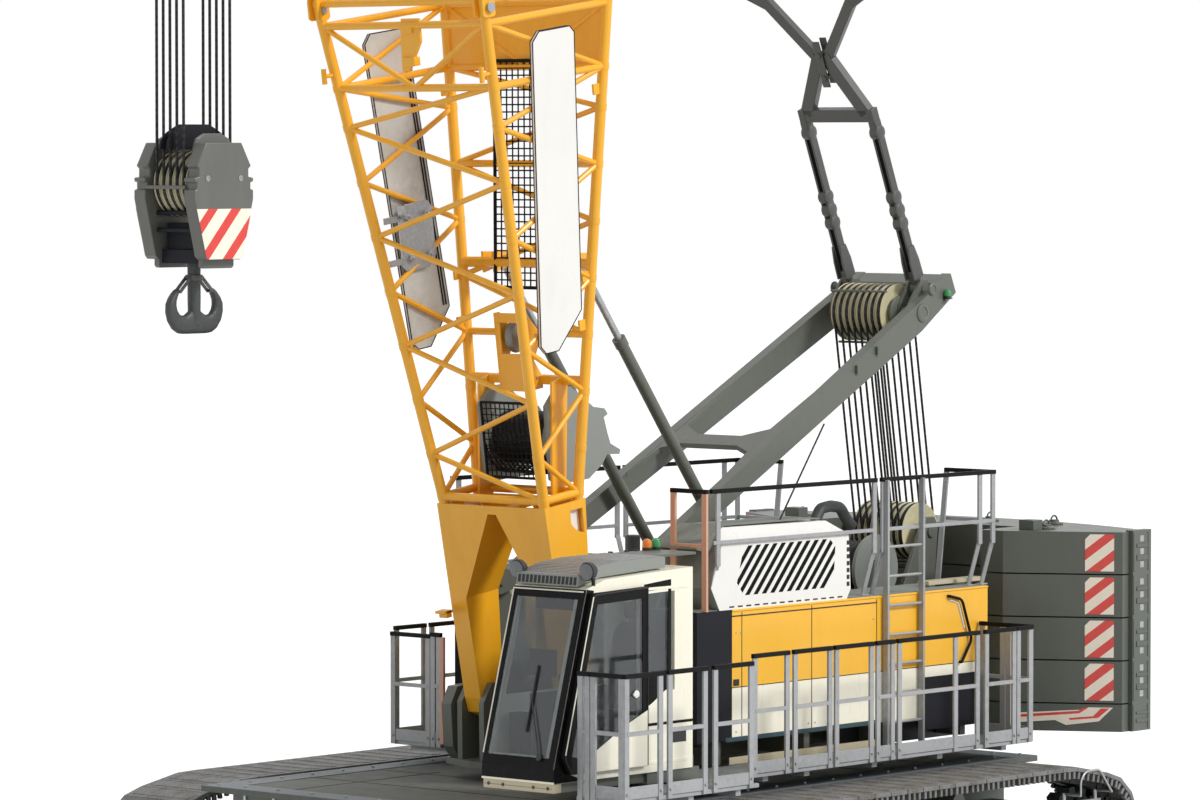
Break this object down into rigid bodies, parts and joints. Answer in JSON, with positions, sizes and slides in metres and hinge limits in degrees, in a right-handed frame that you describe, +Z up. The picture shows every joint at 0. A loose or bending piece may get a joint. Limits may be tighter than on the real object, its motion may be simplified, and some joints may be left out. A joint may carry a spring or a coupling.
{
  "type": "crawler crane",
  "caption": "Crawler crane with a lattice boom on a plate foot, an A-frame gantry with pendants, backstops, glazed cab, louvred housing, railings, slab counterweight and a double-hook block.",
  "frame": {"origin": "on the ground under the slewing centre", "axes": "+X forward, towards the boom and cab; +Y to the operator's left, the cab's side; +Z up"},
  "size_m": [11.7081, 6.17, 26.8527],
  "materials": {
    "steel_grey": "satin paint",
    "weight_grey": "satin paint",
    "track_steel": "worn dull paint",
    "deck_grey": "anti-slip paint",
    "panel_yellow": "gloss paint",
    "boom_yellow": "gloss paint",
    "cream": "gloss paint",
    "black": "gloss paint",
    "white": "gloss paint",
    "sheave_cream": "satin paint",
    "rope": "greased wire",
    "rail_alu": "mill finish",
    "seat_black": "matt",
    "winch_grey": "satin paint",
    "hook_dark": "satin paint"
  },
  "bodies": {
    "undercarriage": {"carbody": "steel_grey", "side_frame_left": "steel_grey", "side_frame_right": "steel_grey", "track_left": "track_steel", "track_right": "track_steel", "drive_sprockets": "steel_grey", "idler_wheels": "steel_grey", "deck_plates": "deck_grey", "carbody_weights": "steel_grey"},
    "upper": {"main_frame": "steel_grey", "panels_upper": "panel_yellow", "panels_lower": "cream", "panels_front": "black", "louvre_housing": "white", "right_housing": "white", "rear_deck": "steel_grey", "hoist_winches": "steel_grey", "luffing_winch": "steel_grey", "luffing_sheaves": "sheave_cream", "luffing_ropes": "rope", "weight_base": "weight_grey", "weight_1": "weight_grey", "weight_2": "weight_grey", "weight_3": "weight_grey", "weight_4": "weight_grey", "walkway_left": "rail_alu", "railing_left": "rail_alu", "walkway_right": "rail_alu", "railing_right": "rail_alu", "roof_railings": "rail_alu", "cab_mount": "steel_grey", "cab_shell": "cream", "cab_seat": "seat_black", "cab_guard": "rail_alu"},
    "cab_door": {"cab_door": "black"},
    "gantry": {"gantry": "steel_grey", "gantry_sheaves": "sheave_cream"},
    "pendants": {"spreader": "steel_grey", "pendant_bars": "steel_grey"},
    "backstop_tubes": {"backstop_tubes": "steel_grey"},
    "backstop_rods": {"backstop_rods": "steel_grey"},
    "boom": {"foot_plates": "boom_yellow", "foot_lattice": "boom_yellow", "middle_section_1": "boom_yellow", "middle_section_2": "boom_yellow", "head_section": "boom_yellow", "head_sheaves": "sheave_cream", "boom_winch": "winch_grey", "board_left": "white", "board_right": "white"},
    "falls": {"hoist_ropes": "rope"},
    "hook_block": {"hook_block": "weight_grey"},
    "hook": {"hook": "hook_dark"}
  },
  "joints": [
    {"name": "slew", "type": "hinge", "parent": "undercarriage", "child": "upper", "pos_m": [0, 0, 1.265], "axis": [0, 0, 1], "continuous": true},
    {"name": "cab_door", "type": "slide", "parent": "upper", "child": "cab_door", "axis": [-1, 0, 0], "range_m": [0, 0.62]},
    {"name": "luff", "type": "hinge", "parent": "upper", "child": "boom", "pos_m": [1.41, 0, 1.93], "axis": [0, -1, 0], "range_deg": [-62, 3]},
    {"name": "gantry", "type": "hinge", "parent": "upper", "child": "gantry", "pos_m": [1.08, 0, 3.05], "axis": [0, -1, 0], "range_deg": [-74, 4], "deforming": ["luffing_ropes"]},
    {"name": "pendants", "type": "hinge", "parent": "gantry", "child": "pendants", "pos_m": [-3.86, 0, 5.7], "axis": [0, -1, 0], "range_deg": [-1, 11]},
    {"name": "backstop_tilt", "type": "hinge", "parent": "upper", "child": "backstop_tubes", "pos_m": [-1.12, 0, 2.95], "axis": [0, -1, 0], "range_deg": [-44, 3]},
    {"name": "backstop_slide", "type": "slide", "parent": "backstop_tubes", "child": "backstop_rods", "axis": [0.6101, 0, 0.7923], "range_m": [-0.12, 2.3]},
    {"name": "falls_plumb", "type": "hinge", "parent": "boom", "child": "falls", "pos_m": [5.7831, 0, 26.5627], "axis": [0, -1, 0], "range_deg": [-4, 63]},
    {"name": "hoist", "type": "slide", "parent": "falls", "child": "hook_block", "axis": [0, 0, -1], "range_m": [-18.5, 5.2], "deforming": ["hoist_ropes"]},
    {"name": "hook_swivel", "type": "hinge", "parent": "hook_block", "child": "hook", "pos_m": [5.7831, 0, 6.06], "axis": [0, 0, 1], "continuous": true}
  ],
  "couplings": [
    {"joint": "gantry", "follows": "luff", "ratio": 1.18},
    {"joint": "pendants", "follows": "luff", "ratio": -0.168},
    {"joint": "backstop_tilt", "follows": "luff", "ratio": 0.69},
    {"joint": "backstop_slide", "follows": "luff", "m_per_rad": -2.103},
    {"joint": "falls_plumb", "follows": "luff", "ratio": -1}
  ]
}
